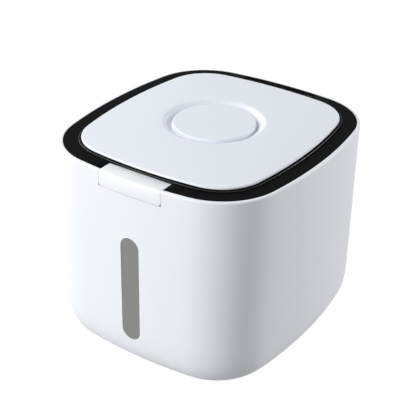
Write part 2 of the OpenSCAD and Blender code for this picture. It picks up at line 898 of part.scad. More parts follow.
// The catch hangs from the lip into the latch bay, its nose towards the bin.
module catch() {
  block(-catch_w / 2, catch_w / 2, catch_nose_y - catch_nose_reach - catch_t, catch_nose_y - catch_nose_reach,
    face_z - catch_drop, lid_under_z + lip_h / 2);
  block(-catch_w / 2, catch_w / 2, catch_nose_y - catch_nose_reach - catch_t, catch_nose_y,
    face_z - catch_drop, face_z - catch_drop + catch_nose_t);
}

module lid_seal() {
  color([0.75, 0.76, 0.78])
    band(seal_in, seal_in + seal_w, face_z + gap, face_z + seal_top);
}

lid_screw_l = deck_t + lid_screw_bite - screw_tip_gap;
module lid_screws() {
  color([0.7, 0.7, 0.72])
    union() {
      for (p = lid_screw_places)
        translate([p[0], p[1], deck_z])
          mirror([0, 0, 1])
            screw(lid_screw_l);
      translate([0, box_y, deck_z - box_top_t])
        mirror([0, 0, 1])
          screw(lid_screw_l + box_top_t);
    }
}

// The box that holds the desiccant, open downwards, with a groove and three entries for the cap's lugs.
lug_z = box_z + cap_skirt_h - cap_lug_h - cap_slack;
box_bore_r = box_r - box_wall_t;
lug_groove_r = box_bore_r + cap_lug_reach + cap_slack;
module desiccant_box() {
  color([0.9, 0.91, 0.93])
    translate([0, box_y, 0])
      difference() {
        translate([0, 0, box_z])
          cylinder(r = box_r, h = box_h);
        translate([0, 0, box_z - over])
          cylinder(r = box_bore_r, h = box_h - box_top_t + over);
        translate([0, 0, lug_z - cap_slack])
          cylinder(r = lug_groove_r, h = cap_lug_h + 2 * cap_slack);
        for (i = [0:CAP_LUGS - 1])
          rotate([0, 0, 360 * (i + cap_entry_share) / CAP_LUGS])
            block(0, lug_groove_r, -cap_lug_w / 2 - cap_slack, cap_lug_w / 2 + cap_slack,
              box_z - over, lug_z);
        translate([0, 0, box_z])
          cylinder(r = screw_hole_r, h = box_h + over);
      }
}

// A pillow of drying grains.
module desiccant_sachet() {
  color([0.95, 0.95, 0.92])
    translate([0, box_y, box_z + gap])
      rotate_extrude()
        polygon(concat(
          [[0, 0]],
          [
            for (a = [-90:SACHET_STEP:90])
              [sachet_r + sachet_round_r * cos(a), sachet_h * (1 + sin(a)) / 2]
          ],
          [[0, sachet_h]]
        ));
}

// The cap: a slotted disc with a skirt inside the box, whose lugs run in the groove.
cap_r = box_bore_r - cap_slack;
cap_top_z = box_z - cap_slack;
module desiccant_cap() {
  color([0.9, 0.91, 0.93])
    translate([0, box_y, 0])
      difference() {
        union() {
          translate([0, 0, cap_top_z - cap_t])
            cylinder(r = box_r, h = cap_t);
          difference() {
            translate([0, 0, cap_top_z - cap_t / 2])
              cylinder(r = cap_r, h = cap_skirt_h + cap_t / 2);
            translate([0, 0, cap_top_z])
              cylinder(r = cap_r - cap_skirt_t, h = cap_skirt_h + over);
          }
          intersection() {
            translate([0, 0, lug_z])
              cylinder(r = box_bore_r + cap_lug_reach, h = cap_lug_h);
            for (i = [0:CAP_LUGS - 1])
              rotate([0, 0, 360 * i / CAP_LUGS])
                block(cap_r - cap_skirt_t / 2, box_r, -cap_lug_w / 2, cap_lug_w / 2,
                  lug_z, lug_z + cap_lug_h);
          }
        }
        for (i = [0:CAP_SLOTS - 1])
          rotate([0, 0, 360 * i / CAP_SLOTS])
            block(cap_slot_r0, cap_slot_r1, -cap_slot_w / 2, cap_slot_w / 2,
              cap_top_z - cap_t - over, cap_top_z + over);
      }
}

// The button: a cap over the latch bay that carries on the wall's curve and the rim's rounding.
button_profile = concat(
  [[0, face_z - button_h - over], [0, face_z - button_fold_r]],
  [
    for (a = [ROUND_STEP:ROUND_STEP:90])
      [button_fold_r * (1 - cos(a)), face_z - button_fold_r * (1 - sin(a))]
  ]
);
button_bore_y = -half_d + button_t + screw_tip_gap;
module button_outline() {
  half = button_w / 2;
  union() {
    translate([-half, button_corner_r])
      square([button_w, button_h - button_corner_r + over]);
    translate([-half + button_corner_r, 0])
      square([button_w - 2 * button_corner_r, 2 * button_corner_r]);
    for (s = [-1, 1])
      translate([s * (half - button_corner_r), button_corner_r])
        circle(r = button_corner_r);
  }
}
module latch_button() {
  color("white")
    difference() {
      union() {
        difference() {
          intersection() {
            plan_solid(button_profile);
            translate([0, button_end_y, face_z - button_h])
              rotate([90, 0, 0])
                linear_extrude(height = button_end_y + half_d + over)
                  button_outline();
          }
          intersection() {
            slab(button_t, face_z - button_h - 2 * over, face_z - button_t);
            block(-button_w / 2 + button_cheek_t, button_w / 2 - button_cheek_t, -half_d, button_end_y + over,
              face_z - button_h - 2 * over, face_z - button_t);
          }
        }
        for (s = [-1, 1])
          rod_y(button_boss_r, -half_d + button_t / 2, web_y, s * button_screw_x, face_z - button_screw_drop);
      }
      for (s = [-1, 1])
        rod_y(screw_r, button_bore_y, web_y + over, s * button_screw_x, face_z - button_screw_drop);
    }
}

// The lever: hub on the pin, web behind the button, and the hook.
module latch_lever() {
  hub_half = bay_half - hub_slack;
  color([0.12, 0.12, 0.13])
    difference() {
      union() {
        rod_x(hub_r, -hub_half, hub_half, latch_pin_y, latch_pin_z);
        block(-web_half, web_half, web_y, web_y + web_t, latch_pin_z, web_top_z);
        block(-hook_w / 2, hook_w / 2, web_y + web_t / 2, hook_end_y, hook_arm_z, hook_arm_z + hook_arm_t);
        block(-hook_w / 2, hook_w / 2, hook_end_y - hook_t, hook_end_y, hook_arm_z, hook_top_z);
        block(-hook_w / 2, hook_w / 2, hook_end_y - hook_t - hook_nose_reach, hook_end_y - hook_t / 2,
          hook_top_z - hook_nose_t, hook_top_z);
      }
      rod_x(latch_pin_r + running_slack, -hub_half - over, hub_half + over, latch_pin_y, latch_pin_z);
      for (s = [-1, 1])
        rod_y(screw_hole_r, web_y - over, web_y + web_t + over,
          s * button_screw_x, face_z - button_screw_drop);
    }
}

button_screw_l = web_y + web_t - button_bore_y - screw_tip_gap;
module latch_screws() {
  color([0.7, 0.7, 0.72])
    for (s = [-1, 1])
      translate([s * button_screw_x, web_y + web_t, face_z - button_screw_drop])
        rotate([-90, 0, 0])
          screw(button_screw_l);
}

outer_bucket();
window_pane();
window_gasket();
window_retainer();
window_screws();
collar();
collar_seal();
hinge_pin(-1);  // hinge_pin_left
hinge_pin(1);  // hinge_pin_right
hinge_spring(-1);  // hinge_spring_left
hinge_spring(1);  // hinge_spring_right
latch_pin();
latch_spring(-1);  // latch_spring_left
latch_spring(1);  // latch_spring_right
foot(-foot_x, -foot_y);  // foot_front_left
foot(foot_x, -foot_y);  // foot_front_right
foot(-foot_x, foot_y);  // foot_rear_left
foot(foot_x, foot_y);  // foot_rear_right
lid_cover();
lid_base();
lid_seal();
lid_screws();
hinge_bush(-1);  // hinge_bush_left
hinge_bush(1);  // hinge_bush_right
desiccant_box();
desiccant_sachet();
desiccant_cap();
latch_button();
latch_lever();
latch_screws();
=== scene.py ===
"""A white rice storage bin with a black collar, a sprung lid and a wide press button, in metres."""

import json
import math
import bpy
import numpy as np
from mathutils import Matrix, Vector


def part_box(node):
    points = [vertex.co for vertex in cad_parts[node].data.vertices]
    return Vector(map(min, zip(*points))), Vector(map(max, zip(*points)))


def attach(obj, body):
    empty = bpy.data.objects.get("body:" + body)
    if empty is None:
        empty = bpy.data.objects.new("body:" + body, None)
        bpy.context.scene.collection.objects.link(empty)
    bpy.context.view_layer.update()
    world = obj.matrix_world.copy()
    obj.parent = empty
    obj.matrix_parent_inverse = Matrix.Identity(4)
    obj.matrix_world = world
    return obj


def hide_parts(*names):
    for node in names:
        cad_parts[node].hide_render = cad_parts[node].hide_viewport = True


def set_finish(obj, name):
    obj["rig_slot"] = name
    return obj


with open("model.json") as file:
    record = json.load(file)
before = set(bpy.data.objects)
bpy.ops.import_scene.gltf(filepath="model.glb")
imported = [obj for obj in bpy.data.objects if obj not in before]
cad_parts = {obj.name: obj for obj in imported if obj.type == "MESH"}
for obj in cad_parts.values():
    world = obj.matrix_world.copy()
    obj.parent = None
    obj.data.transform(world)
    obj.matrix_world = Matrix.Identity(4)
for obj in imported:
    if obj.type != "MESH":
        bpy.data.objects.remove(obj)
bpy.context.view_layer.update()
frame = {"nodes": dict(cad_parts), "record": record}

# Sizes read from the solids
bucket_lo, bucket_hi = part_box("outer_bucket")
cover_lo, cover_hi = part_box("lid_cover")
pane_lo, pane_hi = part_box("window_pane")
gasket_lo, gasket_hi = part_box("window_gasket")
button_lo, button_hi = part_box("latch_button")
foot_lo, foot_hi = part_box("foot_front_left")
HALF_W = bucket_hi.x
HALF_D = bucket_hi.y
FACE_Z = bucket_hi.z
BASE_Z = bucket_lo.z

# Walls of the bin
SIDE_R = 0.470
CORNER_R = 0.068
BASE_CURVE_H = 0.0635
BASE_CURVE_POWER = 4
RIM_ROUND_R = 0.0016
RIM_WALL_T = 0.0032
WALL_T = 0.0036
FLOOR_T = 0.0036
LEDGE_DROP = 0.027
LEDGE_W = 0.003
FOOT_SLACK = 0.0002
NOTCH_SLACK = 0.0004
CUT_OVERRUN = 0.002
# Degrees along the curve of the base, closer together at both ends of it
BASE_CURVE_DEGREES = [90, 89, 87, 84, 81, 78, 74, 70, 65, 60, 55, 50, 45, 40, 35, 30,
                      26, 22, 18, 15, 12, 9, 6.5, 4, 2, 0.7, 0]

# Window: its slot in the wall follows the lens of the pane, which is the pane without its flange
FLANGE_W = 0.005
SLOT_W = pane_hi.x - pane_lo.x - 2 * FLANGE_W
SLOT_H = pane_hi.z - pane_lo.z - 2 * FLANGE_W
SLOT_MID_Z = (pane_hi.z + pane_lo.z) / 2
WINDOW_SLACK = 0.00015
WINDOW_MARGIN = 0.0015
SEAT_DEPTH_SHARE = 0.7
BOSS_R = 0.0032
BOSS_BORE_R = 0.00125
SCREW_HEAD_R = 0.0026

# Cover of the lid
COVER_IN = HALF_W - cover_hi.x
COVER_EDGE_Z = FACE_Z + 0.004
COVER_UNDER_Z = FACE_Z + 0.002
COVER_EDGE_R = 0.0015
CROWN_Z = cover_hi.z
DISC_BACK = 0.0015
DISC_R = 0.0412
DISC_EDGE_R = 0.0007
DISC_DROP = 0.0008
DISC_RING_SHARES = (0.9, 0.6, 0.3, 0.02)
GROOVE_W = 0.0108
GROOVE_DEPTH = 0.005
GROOVE_FLOOR_SHARE = 0.85
GROOVE_ROUND_SHARE = 0.2
GROOVE_MARGIN = 0.005
GROOVE_BACK_T = 0.0018
GROOVE_BACK_W = 0.003

# Lip of the lid's black base
LIP_IN = 0.0183
LIP_TOP_Z = FACE_Z + 0.0014
LIP_H = 0.001

# Eased edges of the press button
BUTTON_EDGE = 0.0003

# Fineness of the meshes
SIDE_STEPS = 44
FRONT_STEPS = 36
CORNER_STEPS = 40
WALL_ROWS = 48
INNER_BASE_POINTS = 19
EDGE_POINTS = 9
COVER_EDGE_POINTS = 10
DOME_RINGS = 18
GROOVE_POINTS = 25
DISC_WALL_POINTS = 15
BEAD_POINTS = 13
CIRCLE_STEPS = 48
WINDOW_END_STEPS = 32
SMOOTH_ANGLE = math.radians(35)
BEVEL_ANGLE = math.radians(50)
BEVEL_SEGMENTS = 2
MERGE_DISTANCE = 1e-6

# Surface patterns: octaves of noise in the grain and the clouds, and the scale along drawn metal's streaks
GRAIN_DETAIL = 3
CLOUD_DETAIL = 2
STREAK_STRETCH = 0.08

# Camera at the photograph's angle, with angles in degrees
CAMERA_AZIMUTH = 33.332
CAMERA_ELEVATION = 29.692
CAMERA_ROLL = 1.232
CAMERA_PLACE = (0.518243, -0.794439, 0.663152)
CAMERA_LENS_PX = 1056.44
CAMERA_NEAR = 0.01
FRAME_PX = 416
SENSOR_W = 36.0

# Floor and background, and the place, width and watts of each lamp
FLOOR_HALF = 6.0
FLOOR_GREY = 0.2
FLOOR_ROUGHNESS = 0.8
FLOOR_SPECULAR = 0.1
FLOOR_GLOW = 0.9
WORLD_LIGHT = 0.2
LAMPS = {
    "front_low": ((-1.57, -2.71, 0.9), 1.2, 57),
    "front_high": ((-1.6, -2.05, 1.94), 1.2, 41),
    "left": ((-2.55, 0.6, 1.94), 1.2, 38),
    "right": ((2.05, 2.5, 1.0), 0.9, 56),
    "fill": ((2.4, -1.8, 1.6), 2.0, 26),
}


# Shapes

def arc(centre, radius, start, end, steps):
    """Points centre + radius (cos a, sin a) for a from start up to but not at end."""
    a = np.linspace(start, end, steps, endpoint=False)
    return np.column_stack([centre[0] + radius * np.cos(a), centre[1] + radius * np.sin(a)])


def outline(inset):
    """Rounded square of four wide arcs joined by four corner arcs that touch them, moved in by inset."""
    side_x, side_y = SIDE_R - HALF_W, SIDE_R - HALF_D
    span = math.hypot(side_x, side_y)
    rise = math.sqrt((SIDE_R - CORNER_R) ** 2 - span**2 / 4)
    cx = -side_x / 2 + rise * side_y / span
    cy = -side_y / 2 + rise * side_x / span
    a = math.atan2(cy, cx + side_x)
    b = math.atan2(cy + side_y, cx)
    side, corner, turn = SIDE_R - inset, CORNER_R - inset, math.pi
    return np.concatenate([
        arc((-side_x, 0), side, -a, a, SIDE_STEPS),
        arc((cx, cy), corner, a, b, CORNER_STEPS),
        arc((0, -side_y), side, b, turn - b, FRONT_STEPS),
        arc((-cx, cy), corner, turn - b, turn - a, CORNER_STEPS),
        arc((side_x, 0), side, turn - a, turn + a, SIDE_STEPS),
        arc((-cx, -cy), corner, turn + a, turn + b, CORNER_STEPS),
        arc((0, side_y), side, turn + b, 2 * turn - b, FRONT_STEPS),
        arc((cx, -cy), corner, 2 * turn - b, 2 * turn - a, CORNER_STEPS),
    ])


def circle(x, y, r):
    """Full circle about (x, y)."""
    return arc((x, y), r, 0, 2 * math.pi, CIRCLE_STEPS)


def window_loop(grow):
    """The window grown on all sides: half circles above and below, joined by straight sides."""
    r = SLOT_W / 2 + grow
    high, low = SLOT_MID_Z + (SLOT_H - SLOT_W) / 2, SLOT_MID_Z - (SLOT_H - SLOT_W) / 2
    top = arc((0, high), r, 0, math.pi, WINDOW_END_STEPS)
    bottom = arc((0, low), r, math.pi, 2 * math.pi, WINDOW_END_STEPS)
    return np.concatenate([top, [[-r, high]], bottom, [[r, low]]])


def round_edge(start, top, r, points, way=1):
    """Quarter circle (start + way r (1 - cos a), top - r (1 - sin a)) for a from 0 to 90 degrees."""
    a = np.radians(np.linspace(0, 90, points))
    return np.column_stack([start + way * r * (1 - np.cos(a)), top - r * (1 - np.sin(a))])


def flat(loop, z):
    """The loop (u, v) laid flat at height z."""
    return np.column_stack([loop, np.full(len(loop), z)])


def upright(loop, y):
    """The loop (u, v) stood up at depth y, with u along x and v along z."""
    return np.column_stack([loop[:, 0], np.full(len(loop), y), loop[:, 1]])


def outline_rings(profile):
    """One ring (x, y, z) of the outline for each (inset, z) of the profile."""
    return np.stack([flat(outline(inset), z) for inset, z in profile])


def circle_rings(profile, centre, like):
    """One ring for each (r, z), whose points lie in the directions of the points of like from the centre."""
    away = like[:, :2] - centre
    away = away / np.linalg.norm(away, axis=1)[:, None]
    return np.stack([flat(centre + r * away, z) for r, z in profile])


def ring_surface(name, rings, looped=False):
    """Mesh through rings of equal length: quads between neighbours, and a cap on each end unless looped."""
    count, n = rings.shape[:2]
    i, k = np.arange(n), np.arange(count if looped else count - 1)[:, None]
    here, there = k * n, (k + 1) % count * n
    quads = np.stack([here + i, here + (i + 1) % n, there + (i + 1) % n, there + i], axis=-1).reshape(-1, 4)
    faces = quads.tolist()
    if not looped:
        faces += [list(range(n - 1, -1, -1)), list(range((count - 1) * n, count * n))]
    mesh = bpy.data.meshes.new(name)
    mesh.from_pydata(rings.reshape(-1, 3).tolist(), [], faces)
    return mesh


def shade(mesh):
    """Smooth shading with edges sharper than SMOOTH_ANGLE kept crisp."""
    mesh.polygons.foreach_set("use_smooth", np.ones(len(mesh.polygons), dtype=bool))
    mesh.set_sharp_from_angle(angle=SMOOTH_ANGLE)
    mesh.update()
    return mesh


def add_object(name, mesh):
    """Places a mesh in the scene at the origin."""
    made = bpy.data.objects.new(name, mesh)
    bpy.context.scene.collection.objects.link(made)
    return made


def applied(made):
    """Bakes the modifiers of an object into its mesh."""
    bpy.context.view_layer.update()
    result = bpy.data.meshes.new_from_object(made.evaluated_get(bpy.context.evaluated_depsgraph_get()))
    made.modifiers.clear()
    made.data = result


def cut(made, tools):
    """Takes each tool mesh out of the object."""
    helpers = [add_object("tool", mesh) for mesh in tools]
    for helper in helpers:
        step = made.modifiers.new("cut", "BOOLEAN")
        step.operation = "DIFFERENCE"
        step.solver = "EXACT"
        step.object = helper
    applied(made)
    for helper in helpers:
        bpy.data.objects.remove(helper)


def piece(made, body, slot, *nodes):
    """Hangs a piece on its body, notes the slot it takes its finish from, and hides the nodes it stands for.
    """
    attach(made, body)
    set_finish(made, slot)
    if nodes:
        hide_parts(*nodes)


def smooth_copy(node, name, body, slot, edge=0.0):
    """The node's own solid with its corners joined, its facets smoothed and its edges eased by a bevel."""
    made = add_object(name, frame["nodes"][node].data.copy())
    weld = made.modifiers.new("weld", "WELD")
    weld.merge_threshold = MERGE_DISTANCE
    if edge:
        bevel = made.modifiers.new("edges", "BEVEL")
        bevel.width = edge
        bevel.segments = BEVEL_SEGMENTS
        bevel.limit_method = "ANGLE"
        bevel.angle_limit = BEVEL_ANGLE
    applied(made)
    shade(made.data)
    piece(made, body, slot, node)


def base_curve(t):
    """Quarter of a superellipse, as shares of its height: (1 - cos(t)^(2/p), 1 - sin(t)^(2/p))."""
    power = 2 / BASE_CURVE_POWER
    return 1 - np.cos(t) ** power, 1 - np.sin(t) ** power


def bucket_profile():
    """(inset, z) up the outside, over the rounded rim, past the ledge and down the inside to the floor."""
    share_in, share_up = base_curve(np.radians(BASE_CURVE_DEGREES))
    outer = np.column_stack([BASE_CURVE_H * share_in, BASE_Z + BASE_CURVE_H * share_up])
    wall_z = np.linspace(BASE_Z + BASE_CURVE_H, FACE_Z - RIM_ROUND_R, WALL_ROWS)[1:-1]
    wall = np.column_stack([np.zeros(len(wall_z)), wall_z])
    rim = round_edge(0, FACE_Z, RIM_ROUND_R, EDGE_POINTS)
    ledge_z = FACE_Z - LEDGE_DROP
    ledge_in = RIM_WALL_T + LEDGE_W
    ledge = [
        [RIM_WALL_T, FACE_Z],
        [RIM_WALL_T, ledge_z],
        [ledge_in, ledge_z],
        [ledge_in, ledge_z - LEDGE_W],
        [WALL_T, ledge_z - 2 * LEDGE_W],
    ]
    share_in, share_up = base_curve(np.radians(np.linspace(0, 90, INNER_BASE_POINTS)))
    inner = np.column_stack([
        WALL_T + (BASE_CURVE_H - WALL_T) * share_in,
        BASE_Z + FLOOR_T + (BASE_CURVE_H - FLOOR_T) * share_up,
    ])
    return np.concatenate([outer, wall, rim, ledge, inner])


def make_bucket():
    """The bin's profile carried round its outline, less the slot, the button's notch and foot pockets."""
    made = add_object("bin_shell", ring_surface("bin_shell", outline_rings(bucket_profile())))
    front_y = -HALF_D - CUT_OVERRUN
    slot = window_loop(WINDOW_SLACK)
    slot_tool = ring_surface("slot", np.stack([upright(slot, gasket_hi.y), upright(slot, front_y)]))
    side, low = button_hi.x + NOTCH_SLACK, button_lo.z - NOTCH_SLACK
    high = FACE_Z + CUT_OVERRUN
    notch = np.array([[side, low], [side, high], [-side, high], [-side, low]])
    notch_tool = ring_surface("notch", np.stack([upright(notch, button_hi.y), upright(notch, front_y)]))
    foot_x, foot_y = (foot_lo.x + foot_hi.x) / 2, (foot_lo.y + foot_hi.y) / 2
    foot_r = (foot_hi.x - foot_lo.x) / 2 + FOOT_SLACK
    pockets = [circle(x, y, foot_r) for x in (-foot_x, foot_x) for y in (-foot_y, foot_y)]
    pocket_tools = [
        ring_surface("pocket", np.stack([flat(loop, BASE_Z - CUT_OVERRUN), flat(loop, foot_hi.z)]))
        for loop in pockets
    ]
    cut(made, [slot_tool, notch_tool, *pocket_tools])
    shade(made.data)
    piece(made, "bin", "white_body", "outer_bucket")


def make_window_seat():
    """The pad round the slot on the inside of the front wall, and the four screw bosses beside it."""
    wall_y = -HALF_D + WALL_T * SEAT_DEPTH_SHARE
    grown = FLANGE_W + WINDOW_MARGIN
    pad = [(grown, wall_y), (WINDOW_SLACK, wall_y), (WINDOW_SLACK, gasket_lo.y), (grown, gasket_lo.y)]
    rings = np.stack([upright(window_loop(grow), y) for grow, y in pad])
    seat = shade(ring_surface("window_seat", rings, looped=True))
    piece(add_object("window_seat", seat), "bin", "white_body", "outer_bucket")
    screws_lo, screws_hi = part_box("window_screws")
    tube = [(BOSS_R, wall_y), (BOSS_BORE_R, wall_y), (BOSS_BORE_R, pane_hi.y), (BOSS_R, pane_hi.y)]
    places = [(x, z) for x in (screws_lo.x + SCREW_HEAD_R, screws_hi.x - SCREW_HEAD_R)
              for z in (screws_lo.z + SCREW_HEAD_R, screws_hi.z - SCREW_HEAD_R)]
    for index, (x, z) in enumerate(places):
        rings = np.stack([upright(circle(x, z, r), y) for r, y in tube])
        boss = shade(ring_surface("window_boss", rings, looped=True))
        piece(add_object(f"window_boss_{index}", boss), "bin", "white_body", "outer_bucket")


def crown_z(share):
    """Height of the cover at a share of the way in from its edge: a dome 1 - (1 - w share)^2, as high at
    share 1 as the crown, where w is how much of the half width the way covers."""
    way = 1 - (DISC_R + GROOVE_W + GROOVE_MARGIN) / ((HALF_W + HALF_D) / 2 - COVER_IN)
    full = 1 - (1 - way) ** 2
    return COVER_EDGE_Z + (CROWN_Z - COVER_EDGE_Z) * (1 - (1 - way * share) ** 2) / full


def groove_fall(t):
    """Fall of the groove at a share t of the way from its outer edge to its floor: sqrt(t^2 + e^2) - e,
    over its value at the floor."""
    e = GROOVE_ROUND_SHARE
    return (np.sqrt(t**2 + e**2) - e) / (math.sqrt(1 + e**2) - e)


def groove_profile():
    """(r, z) from the groove's outer edge down to its floor, up the disc's wall as (1 - u)^2 and over the
    disc's round edge to its middle."""
    outer_r = DISC_R + GROOVE_W
    floor_r = outer_r - GROOVE_FLOOR_SHARE * GROOVE_W
    floor_z = CROWN_Z - GROOVE_DEPTH
    disc_z = CROWN_Z - DISC_DROP
    wall_top_z = disc_z - DISC_EDGE_R
    t = np.linspace(0, 1, GROOVE_POINTS)
    outer_wall = np.column_stack([
        outer_r - (outer_r - floor_r) * t,
        CROWN_Z - GROOVE_DEPTH * groove_fall(t),
    ])
    u = np.linspace(1, 0, DISC_WALL_POINTS + 2)[1:-1]
    disc_wall = np.column_stack([
        DISC_R + (floor_r - DISC_R) * u,
        floor_z + (wall_top_z - floor_z) * (1 - u) ** 2,
    ])
    disc_edge = round_edge(DISC_R, disc_z, DISC_EDGE_R, EDGE_POINTS, way=-1)
    disc_top = [[DISC_R * share, disc_z] for share in DISC_RING_SHARES]
    return np.concatenate([outer_wall, disc_wall, disc_edge, disc_top])


def make_cover():
    """The lid's top: its hollow underside, edge rings of the outline, a dome whose rings run over from the
    outline to a circle, and the groove with the disc."""
    centre = np.array([0.0, DISC_BACK])
    edge_loop = outline(COVER_IN)
    groove_r = DISC_R + GROOVE_W
    back_z = CROWN_Z - GROOVE_DEPTH - GROOVE_BACK_T
    back_in, back_out = DISC_R - GROOVE_BACK_W, groove_r + GROOVE_BACK_W
    under = [
        [DISC_R * DISC_RING_SHARES[-1], COVER_UNDER_Z], [back_in, COVER_UNDER_Z], [back_in, back_z],
        [back_out, back_z], [back_out, COVER_UNDER_Z],
    ]
    edge = round_edge(COVER_IN, COVER_EDGE_Z, COVER_EDGE_R, COVER_EDGE_POINTS)
    outer_rings = outline_rings(np.concatenate([[[COVER_IN, COVER_UNDER_Z]], edge]))
    run_in = circle_rings([[groove_r + GROOVE_MARGIN, CROWN_Z]], centre, edge_loop)[0]
    shares = np.linspace(0, 1, DOME_RINGS + 1)[1:]
    dome = np.stack([outer_rings[-1] * (1 - share) + run_in * share for share in shares])
    dome[:, :, 2] = crown_z(shares)[:, None]
    under_rings = circle_rings(under, centre, edge_loop)
    groove_rings = circle_rings(groove_profile(), centre, edge_loop)
    rings = np.concatenate([under_rings, outer_rings, dome, groove_rings])
    lid_top = add_object("lid_top", shade(ring_surface("lid_top", rings)))
    piece(lid_top, "lid", "white_lid", "lid_cover")


def make_lip_bead():
    """Round edge of the lid's lip: a half circle (in + r - r cos a, z + r sin a) with a straight back."""
    r = LIP_H / 2
    a = np.radians(np.linspace(-90, 90, BEAD_POINTS))
    profile = np.column_stack([LIP_IN + r * (1 - np.cos(a)), LIP_TOP_Z - r + r * np.sin(a)])
    bead = add_object("lip_bead", shade(ring_surface("lip_bead", outline_rings(profile), looped=True)))
    piece(bead, "lid", "black_lid", "lid_base")


# Finishes

def calc(tree, operation, *terms):
    """Output of a Math node, whose inputs are linked to the terms or set to them, in order."""
    step = tree.nodes.new("ShaderNodeMath")
    step.operation = operation
    for socket, term in zip(step.inputs, terms):
        if isinstance(term, (int, float)):
            socket.default_value = term
        else:
            tree.links.new(term, socket)
    return step.outputs[0]


def spoken(key):
    """A value's key as the name of its socket, such as Grain Size for grain_size."""
    return key.replace("_", " ").title()


def surface_group(name, color, **values):
    """A node group that takes a colour and the named values, and gives Color, Roughness and Height."""
    group = bpy.data.node_groups.new(name, "ShaderNodeTree")
    for key, value in values.items():
        socket = group.interface.new_socket(name=spoken(key), in_out="INPUT", socket_type="NodeSocketFloat")
        socket.default_value = value
    socket = group.interface.new_socket(name="Color", in_out="INPUT", socket_type="NodeSocketColor")
    socket.default_value = (*color, 1)
    group.interface.new_socket(name="Color", in_out="OUTPUT", socket_type="NodeSocketColor")
    group.interface.new_socket(name="Roughness", in_out="OUTPUT", socket_type="NodeSocketFloat")
    group.interface.new_socket(name="Height", in_out="OUTPUT", socket_type="NodeSocketFloat")
    return group, group.nodes.new("NodeGroupInput").outputs, group.nodes.new("NodeGroupOutput").inputs


def noise(group, vector, size, detail):
    """Noise between 0 and 1 with blotches of about the size."""
    texture = group.nodes.new("ShaderNodeTexNoise")
    texture.inputs["Detail"].default_value = detail
    group.links.new(vector, texture.inputs["Vector"])
    group.links.new(calc(group, "DIVIDE", 1, size), texture.inputs["Scale"])
    return texture.outputs["Fac"]


def moulded_group():
    """Moulded plastic: fine grain for the bump, the roughness and specks in the colour, and faint clouds in
    the colour.
    """
    group, given, result = surface_group(
        "moulded_surface", color=(0.8, 0.8, 0.8), grain_size=0.0006, cloud_size=0.09,
        roughness=0.4, roughness_spread=0.06, tone_spread=0.02, speck_amount=0.0)
    place = group.nodes.new("ShaderNodeTexCoord").outputs["Object"]

    def spread(factor, centre, width):
        """centre + width (2 factor - 1)"""
        return calc(group, "MULTIPLY_ADD", calc(group, "MULTIPLY_ADD", factor, 2, -1), width, centre)

    grain = noise(group, place, given["Grain Size"], GRAIN_DETAIL)
    cloud = noise(group, place, given["Cloud Size"], CLOUD_DETAIL)
    tone = spread(cloud, 1.0, given["Tone Spread"])
    speck = spread(grain, 1.0, given["Speck Amount"])
    shaded = group.nodes.new("ShaderNodeVectorMath")
    shaded.operation = "SCALE"
    group.links.new(given["Color"], shaded.inputs[0])
    group.links.new(calc(group, "MULTIPLY", tone, speck), shaded.inputs["Scale"])
    group.links.new(shaded.outputs[0], result["Color"])
    group.links.new(spread(grain, given["Roughness"], given["Roughness Spread"]), result["Roughness"])
    group.links.new(grain, result["Height"])
    return group


def drawn_metal_group():
    """Metal drawn or turned along one axis: long streaks in the roughness and the bump."""
    group, given, result = surface_group(
        "drawn_metal", color=(0.6, 0.6, 0.62), streak_size=0.0004, roughness=0.3, roughness_spread=0.12)
    place, stretch = group.nodes.new("ShaderNodeTexCoord"), group.nodes.new("ShaderNodeMapping")
    stretch.inputs["Scale"].default_value = (STREAK_STRETCH, 1, 1)
    group.links.new(place.outputs["Object"], stretch.inputs["Vector"])
    streaks = noise(group, stretch.outputs["Vector"], given["Streak Size"], GRAIN_DETAIL)
    rough = calc(group, "MULTIPLY_ADD", streaks, given["Roughness Spread"], given["Roughness"])
    group.links.new(rough, result["Roughness"])
    group.links.new(given["Color"], result["Color"])
    group.links.new(streaks, result["Height"])
    return group


def finish(name, group, color, bump, specular=0.5, metallic=0.0, **values):
    """A material whose colour, roughness and bump come from a surface group with its own values."""
    material = bpy.data.materials.new(name)
    material.use_nodes = True
    nodes, links = material.node_tree.nodes, material.node_tree.links
    shader = nodes["Principled BSDF"]
    surface = nodes.new("ShaderNodeGroup")
    surface.node_tree = group
    surface.inputs["Color"].default_value = (*color, 1)
    for key, value in values.items():
        surface.inputs[spoken(key)].default_value = value
    relief = nodes.new("ShaderNodeBump")
    relief.inputs["Distance"].default_value = bump
    relief.inputs["Strength"].default_value = 1
    links.new(surface.outputs["Color"], shader.inputs["Base Color"])
    links.new(surface.outputs["Roughness"], shader.inputs["Roughness"])
    links.new(surface.outputs["Height"], relief.inputs["Height"])
    links.new(relief.outputs["Normal"], shader.inputs["Normal"])
    shader.inputs["Specular IOR Level"].default_value = specular
    shader.inputs["Metallic"].default_value = metallic
    return material


MOULDED = moulded_group()
DRAWN = drawn_metal_group()

